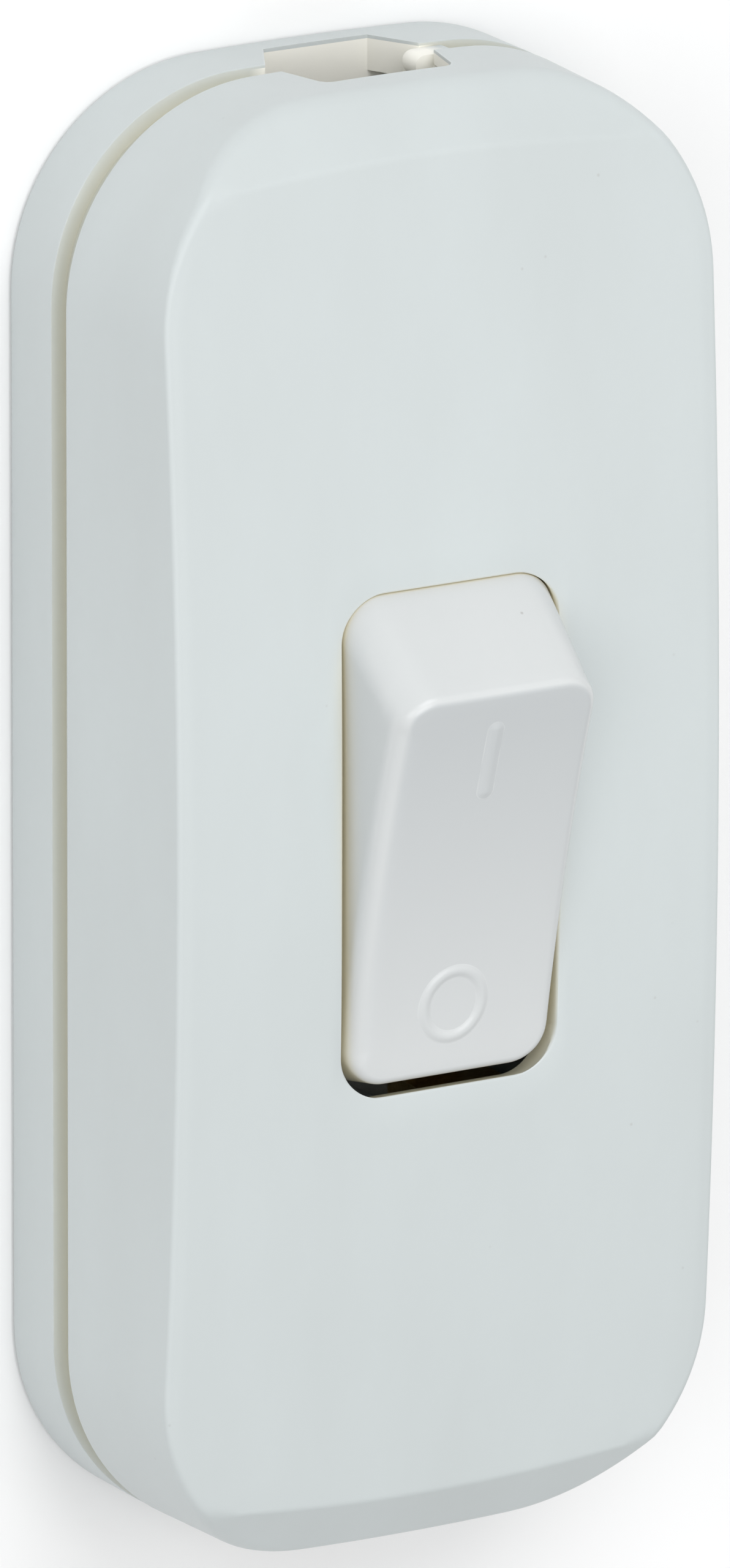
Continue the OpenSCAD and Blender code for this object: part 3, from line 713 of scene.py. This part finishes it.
def build_spring(name, x):
    """Compression spring with closed end turns."""
    low, high, coil_r, wire_r = -0.55, 6.25, 1.15, 0.2
    turns, steps, sides, closed = 7.0, 26, 10, 0.9
    turn = np.linspace(0, turns, int(turns * steps) + 1)
    pitch = 2 * wire_r * 0.98  # of the closed end turns
    opened = high - low - 2 * wire_r - 2 * pitch * closed
    z = low + wire_r + pitch * np.minimum(turn, closed)
    z += opened * np.clip((turn - closed) / (turns - 2 * closed), 0, 1)
    z += pitch * np.maximum(turn - (turns - closed), 0)
    a = 2 * math.pi * turn
    rings = []
    for k in range(len(turn)):
        b = np.linspace(0, 2 * math.pi, sides, endpoint=False)
        r = coil_r + wire_r * np.cos(b)
        rings.append(np.stack([x + r * math.cos(a[k]), r * math.sin(a[k]),
                               z[k] + wire_r * np.sin(b)], 1))
    obj = rings_object(name + "_coil", place_rocker(rings), caps=True, smooth=60)
    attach(obj, "rocker")
    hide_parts(name)
    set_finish(obj, "spring_steel")
    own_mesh(obj)
    return obj


# ---------------------------------------------------------------- materials

# warm colour painted into gaps and recesses as shade
PAINTED_RECESS_SHADE = (0.79, 0.745, 0.58)
SPECK_TONE = (0.33, 0.31, 0.29)


def node(tree, kind, **settings):
    made = tree.nodes.new(kind)
    for key, value in settings.items():
        setattr(made, key, value)
    return made


def mm_coordinates(tree, stretch=(1, 1, 1)):
    """The object's own coordinates, in millimetres."""
    where = node(tree, "ShaderNodeTexCoord")
    scale = node(tree, "ShaderNodeMapping")
    scale.inputs["Scale"].default_value = [s / MM for s in stretch]
    tree.links.new(where.outputs["Object"], scale.inputs["Vector"])
    return scale.outputs["Vector"]


def noise(tree, vector, scale, detail=3.0, rough=0.55):
    made = node(tree, "ShaderNodeTexNoise")
    made.inputs["Scale"].default_value = scale
    made.inputs["Detail"].default_value = detail
    made.inputs["Roughness"].default_value = rough
    tree.links.new(vector, made.inputs["Vector"])
    return made.outputs["Fac"]


def ramp(tree, value, low, high, a=0.0, b=1.0):
    """Runs from a to b as value goes from low to high, and stays level past both."""
    made = node(tree, "ShaderNodeMapRange")
    made.inputs["From Min"].default_value = low
    made.inputs["From Max"].default_value = high
    made.inputs["To Min"].default_value = a
    made.inputs["To Max"].default_value = b
    tree.links.new(value, made.inputs["Value"])
    return made.outputs["Result"]


def blend_colour(tree, fac, a, b):
    """Colour a where fac is 0 and b where it is 1; each is a tuple or a socket."""
    made = node(tree, "ShaderNodeMix", data_type="RGBA")
    tree.links.new(fac, made.inputs[0])
    for index, value in ((6, a), (7, b)):
        if isinstance(value, tuple):
            made.inputs[index].default_value = (*value, 1)
        else:
            tree.links.new(value, made.inputs[index])
    return made.outputs[2]


def maths(tree, operation, a, b=None):
    made = node(tree, "ShaderNodeMath", operation=operation)
    for index, value in enumerate((a, b)):
        if value is None:
            continue
        if isinstance(value, float):
            made.inputs[index].default_value = value
        else:
            tree.links.new(value, made.inputs[index])
    return made.outputs[0]


def edge_mask(tree, radius):
    """How sharply the surface turns within radius metres: 0 on flats, 1 on hard edges."""
    bevel = node(tree, "ShaderNodeBevel", samples=4)
    bevel.inputs["Radius"].default_value = radius
    plain = node(tree, "ShaderNodeNewGeometry")
    dot = node(tree, "ShaderNodeVectorMath", operation="DOT_PRODUCT")
    tree.links.new(bevel.outputs["Normal"], dot.inputs[0])
    tree.links.new(plain.outputs["Normal"], dot.inputs[1])
    return ramp(tree, dot.outputs["Value"], 0.995, 0.86)


def start_material(name):
    mat = bpy.data.materials.new(name)
    mat.use_nodes = True
    tree = mat.node_tree
    tree.nodes.clear()
    out = node(tree, "ShaderNodeOutputMaterial")
    shader = node(tree, "ShaderNodeBsdfPrincipled")
    tree.links.new(shader.outputs["BSDF"], out.inputs["Surface"])
    return mat, tree, shader


def paint_recess_shade(tree, tone, deep, depth):
    """Painted warm shade: gaps and recesses get a warm colour, the deeper the warmer, as light
    bounced about in them would look.
    """
    hidden = node(tree, "ShaderNodeAmbientOcclusion", samples=8)
    hidden.inputs["Distance"].default_value = depth * MM
    where = node(tree, "ShaderNodeTexCoord")
    split = node(tree, "ShaderNodeSeparateXYZ")
    tree.links.new(where.outputs["Object"], split.inputs["Vector"])
    clear_of_floor = ramp(tree, split.outputs["Z"], 1.2 * MM, 4.0 * MM)
    shut_in = ramp(tree, hidden.outputs["AO"], 0.08, 0.8, 1.0, 0.0)
    return blend_colour(tree, maths(tree, "MULTIPLY", shut_in, clear_of_floor), tone, deep)


def hairlines(tree, place):
    """Sparse fine scratches, mostly along the case."""
    drift = noise(tree, mm_coordinates(tree, (1.0, 0.07, 1.0)), 0.8, 2.0)
    line = ramp(tree, maths(tree, "ABSOLUTE", maths(tree, "SUBTRACT", drift, 0.52)),
                0.0, 0.0016, 1.0, 0.0)
    return maths(tree, "MULTIPLY", line, ramp(tree, noise(tree, place, 0.16, 2.0), 0.52, 0.62))


def moulded_plastic(name, colour, shade_colour, worn, rough, specks=0.0, peel=0.012, coat=0.0,
                    face_shade_tone=None, entry_light_tone=None):
    """Moulded plastic: faint flow mottling, orange peel, hairline scratches, rubbed edges, painted
    warm shade in recesses, and where asked painted shade on the finger face and painted light in
    the cord entries.
    """
    mat, tree, shader = start_material(name)
    place = mm_coordinates(tree)
    flow = ramp(tree, noise(tree, mm_coordinates(tree, (1, 0.35, 1)), 0.09, 4.0), 0.35, 0.65)
    tone = blend_colour(tree, flow, colour, shade_colour)
    grain = ramp(tree, noise(tree, place, 1.6, 5.0, 0.7), 0.3, 0.7)
    tone = blend_colour(tree, maths(tree, "MULTIPLY", grain, 0.22), tone, shade_colour)
    # painted shade: the finger face is made darker, more so towards the bar
    if face_shade_tone:
        tone = blend_colour(tree, finger_face_shade(tree), tone, face_shade_tone)
    edges = edge_mask(tree, 0.00022)
    uneven = ramp(tree, noise(tree, place, 0.7), 0.35, 0.6, 0.15, 0.7)
    rubbed = maths(tree, "MULTIPLY", edges, uneven)
    tone = blend_colour(tree, rubbed, tone, worn)
    if specks:
        cells = node(tree, "ShaderNodeTexVoronoi")
        cells.inputs["Scale"].default_value = 0.33
        cells.inputs["Randomness"].default_value = 1.0
        tree.links.new(place, cells.inputs["Vector"])
        dot = ramp(tree, cells.outputs["Distance"], 0.016, 0.045, 1.0, 0.0)
        picked = ramp(tree, noise(tree, place, 0.12, 1.0), 0.5, 0.56)
        dot = maths(tree, "MULTIPLY", maths(tree, "MULTIPLY", dot, picked), specks)
        tone = blend_colour(tree, dot, tone, SPECK_TONE)
    scratch = hairlines(tree, place)
    tone = blend_colour(tree, maths(tree, "MULTIPLY", scratch, 0.12), tone, shade_colour)
    # painted shade: gaps and recesses are tinted warm where ambient occlusion finds them shut in
    tone = paint_recess_shade(tree, tone, PAINTED_RECESS_SHADE, 2.4)
    # painted light: the insides of the cord entries are made paler
    if entry_light_tone:
        tone = blend_colour(tree, entry_light_mask(tree), tone, entry_light_tone)
    tree.links.new(tone, shader.inputs["Base Color"])
    gloss = ramp(tree, noise(tree, place, 0.25, 1.0), 0.2, 0.8, rough - 0.012, rough + 0.012)
    gloss = maths(tree, "ADD", gloss, maths(tree, "MULTIPLY", scratch, 0.08))
    tree.links.new(gloss, shader.inputs["Roughness"])
    shader.inputs["Specular IOR Level"].default_value = 0.42
    shader.inputs["Coat Weight"].default_value = coat
    shader.inputs["Coat Roughness"].default_value = 0.18
    height = maths(tree, "SUBTRACT", noise(tree, place, 2.2, 3.0),
                   maths(tree, "MULTIPLY", scratch, 0.2))
    bump = node(tree, "ShaderNodeBump")
    bump.inputs["Strength"].default_value = 0.5
    bump.inputs["Distance"].default_value = peel * MM
    tree.links.new(height, bump.inputs["Height"])
    tree.links.new(bump.outputs["Normal"], shader.inputs["Normal"])
    return mat


def within(tree, value, low, high):
    """1 where value lies between low and high, else 0."""
    above = maths(tree, "GREATER_THAN", value, low)
    return maths(tree, "MULTIPLY", above, maths(tree, "LESS_THAN", value, high))


def entry_light_mask(tree):
    """1 on the insides of the two cord entries, where a paler colour is painted on as light to
    brighten their shade.
    """
    split = node(tree, "ShaderNodeSeparateXYZ")
    tree.links.new(node(tree, "ShaderNodeTexCoord").outputs["Object"], split.inputs["Vector"])
    across = maths(tree, "ABSOLUTE", split.outputs["X"])
    along = maths(tree, "ABSOLUTE", split.outputs["Y"])
    mask = maths(tree, "MULTIPLY", ramp(tree, across, 5.4 * MM, 6.4 * MM, 1.0, 0.0),
                 within(tree, along, 36 * MM, 45.25 * MM))
    return maths(tree, "MULTIPLY", mask, within(tree, split.outputs["Z"], 1.9 * MM, 10.95 * MM))


def finger_face_shade(tree):
    """Painted shade: 1 on the face that fingers press, strongest towards the bar, 0 on the other
    faces; that face is made darker.
    """
    where = node(tree, "ShaderNodeTexCoord")
    dot = node(tree, "ShaderNodeVectorMath", operation="DOT_PRODUCT")
    tree.links.new(where.outputs["Normal"], dot.inputs[0])
    dot.inputs[1].default_value = (0, -math.sin(TILT), math.cos(TILT))
    split = node(tree, "ShaderNodeSeparateXYZ")
    tree.links.new(where.outputs["Object"], split.inputs["Vector"])
    along = ramp(tree, split.outputs["Y"], -FACE_L * MM, 8 * MM, 0.12, 1.0)
    return maths(tree, "MULTIPLY", ramp(tree, dot.outputs["Value"], 0.86, 0.975), along)


def drawn_metal(name, colour, dull, rough, stretch, peel=0.01):
    """Worked metal: draw lines along one axis, tarnish in patches, brighter rubbed edges."""
    mat, tree, shader = start_material(name)
    place = mm_coordinates(tree)
    lines = noise(tree, mm_coordinates(tree, stretch), 3.0, 4.0, 0.7)
    patches = ramp(tree, noise(tree, place, 0.5, 4.0), 0.38, 0.66)
    tone = blend_colour(tree, maths(tree, "MULTIPLY", patches, 0.7), colour, dull)
    drawn = maths(tree, "MULTIPLY", ramp(tree, lines, 0.4, 0.7), 0.25)
    tone = blend_colour(tree, drawn, tone, dull)
    bright = tuple(min(1.0, c * 1.18) for c in colour)
    tone = blend_colour(tree, maths(tree, "MULTIPLY", edge_mask(tree, 0.00012), 0.5), tone, bright)
    tree.links.new(tone, shader.inputs["Base Color"])
    shader.inputs["Metallic"].default_value = 1.0
    tree.links.new(ramp(tree, lines, 0.3, 0.7, rough - 0.08, rough + 0.12),
                   shader.inputs["Roughness"])
    bump = node(tree, "ShaderNodeBump")
    bump.inputs["Strength"].default_value = 0.6
    bump.inputs["Distance"].default_value = peel * MM
    tree.links.new(lines, bump.inputs["Height"])
    tree.links.new(bump.outputs["Normal"], shader.inputs["Normal"])
    return mat


def make_materials():
    return {
        # the pale tone for the insides of the cord entries is painted light
        "case_plastic": moulded_plastic(
            "case_plastic", (0.612, 0.660, 0.664), (0.588, 0.632, 0.634), (0.70, 0.735, 0.735),
            0.42, specks=0.25, entry_light_tone=(0.96, 0.95, 0.88)),
        # the darker tone for the rocker's finger face is painted shade
        "rocker_plastic": moulded_plastic(
            "rocker_plastic", (0.695, 0.716, 0.718), (0.670, 0.692, 0.695), (0.76, 0.78, 0.78),
            0.30, specks=0.55, peel=0.008, coat=0.25, face_shade_tone=(0.585, 0.612, 0.622)),
        "inner_plastic": moulded_plastic(
            "inner_plastic", (0.62, 0.60, 0.53), (0.56, 0.54, 0.47), (0.70, 0.68, 0.62), 0.5),
        "terminal_brass": drawn_metal(
            "terminal_brass", (0.72, 0.53, 0.25), (0.50, 0.34, 0.15), 0.34, (0.2, 1.5, 1.5)),
        "contact_silver": drawn_metal(
            "contact_silver", (0.83, 0.82, 0.79), (0.60, 0.58, 0.53), 0.3, (1, 1, 1)),
        "screw_steel": drawn_metal(
            "screw_steel", (0.66, 0.67, 0.68), (0.46, 0.46, 0.45), 0.32, (1, 1, 0.4)),
        "spring_steel": drawn_metal(
            "spring_steel", (0.55, 0.56, 0.57), (0.36, 0.36, 0.36), 0.36, (0.6, 0.6, 0.6)),
    }


def floor_material():
    mat, tree, shader = start_material("pale_floor")
    place = mm_coordinates(tree)
    tone = blend_colour(tree, ramp(tree, noise(tree, place, 0.02, 3.0), 0.3, 0.7),
                        (0.95, 0.95, 0.95), (0.94, 0.942, 0.945))
    tree.links.new(tone, shader.inputs["Base Color"])
    shader.inputs["Roughness"].default_value = 0.85
    shader.inputs["Specular IOR Level"].default_value = 0.1
    return mat


# ---------------------------------------------------------------- stage, light and camera

def build_stage():
    size, n = 3000.0, 12
    line = np.linspace(-size, size, n + 1)
    x, y = np.meshgrid(line, line)
    verts = np.stack([x.ravel(), y.ravel(), np.full(x.size, -0.02)], 1)
    corners = np.array([0, 1, n + 2, n + 1])
    faces = [tuple(int(v) for v in corners + j * (n + 1) + i) for j in range(n) for i in range(n)]
    floor = make_object("floor", verts, faces)
    floor.data.materials.append(floor_material())


def area_light(name, at, target, size, power):
    data = bpy.data.lights.new(name, "AREA")
    data.shape = "DISK"
    data.size = size
    data.energy = power
    obj = bpy.data.objects.new(name, data)
    bpy.context.scene.collection.objects.link(obj)
    obj.location = at
    obj.rotation_euler = (Vector(target) - Vector(at)).to_track_quat("-Z", "Y").to_euler()


def build_light():
    world = bpy.data.worlds.new("studio")
    bpy.context.scene.world = world
    world.use_nodes = True
    back = world.node_tree.nodes["Background"]
    back.inputs["Color"].default_value = (1.0, 1.0, 1.0, 1)
    back.inputs["Strength"].default_value = 0.36
    centre = (0, 0, 0.01)
    area_light("above", (0, 0, 1.3), centre, 0.9, 5.6)
    area_light("head_end", (0, 0.85, 0.9), centre, 0.9, 5.6)
    area_light("left", (-0.85, 0.2, 0.9), centre, 0.9, 3.7)
    area_light("left_fill", (-0.9, -0.6, 0.6), centre, 0.9, 0.7)
    area_light("right_fill", (0.9, 0.1, 0.9), centre, 0.9, 0.65)


def build_camera():
    """Camera at the photograph's angle: yaw 30, pitch 16, about 1.23 m away."""
    right = Vector((0.8649, 0.0022, 0.5019)).normalized()
    back = Vector((-0.4822, 0.2813, 0.8297)).normalized()
    up = back.cross(right).normalized()
    right = up.cross(back)
    data = bpy.data.cameras.new("camera")
    data.sensor_fit = "AUTO"
    data.sensor_width = 36
    data.lens = 468.7
    data.dof.use_dof = False
    data.clip_start, data.clip_end = 0.05, 20
    cam = bpy.data.objects.new("camera", data)
    bpy.context.scene.collection.objects.link(cam)
    turn = Matrix((right, up, back)).transposed().to_4x4()
    cam.matrix_world = Matrix.Translation(Vector((-593.54, 346.93, 1029.41)) * MM) @ turn
    bpy.context.scene.camera = cam


# ---------------------------------------------------------------- everything together

def dress_cad_nodes(materials, hidden):
    """Gives each CAD node that is still shown its slot's material and softened edges."""
    slots = {s["node"]: s["material_slot"] for s in frame["record"]["subparts"]}
    for name, obj in frame["nodes"].items():
        if name in hidden:
            continue
        obj.data.materials.clear()
        obj.data.materials.append(materials[slots[name]])
        weld = obj.modifiers.new("weld", "WELD")
        weld.merge_threshold = 0.000004
        soft = obj.modifiers.new("soft_edges", "BEVEL")
        soft.width = 0.00006
        soft.segments = 2
        soft.limit_method = "ANGLE"
        soft.angle_limit = math.radians(40)


materials = make_materials()
made = [build_front_cover(), build_rear_cover(), build_rocker(), bar_mark(), ring_mark(),
        build_spring("live_plunger_spring", -PLUNGER_X),
        build_spring("neutral_plunger_spring", PLUNGER_X)]
for piece in made:
    piece.data.materials.clear()
    piece.data.materials.append(materials[piece["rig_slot"]])
dress_cad_nodes(materials, ["front_cover", "rear_cover", "rocker", "live_plunger_spring",
                            "neutral_plunger_spring"])
build_stage()
build_light()
build_camera()
bpy.context.scene.view_settings.view_transform = "Standard"
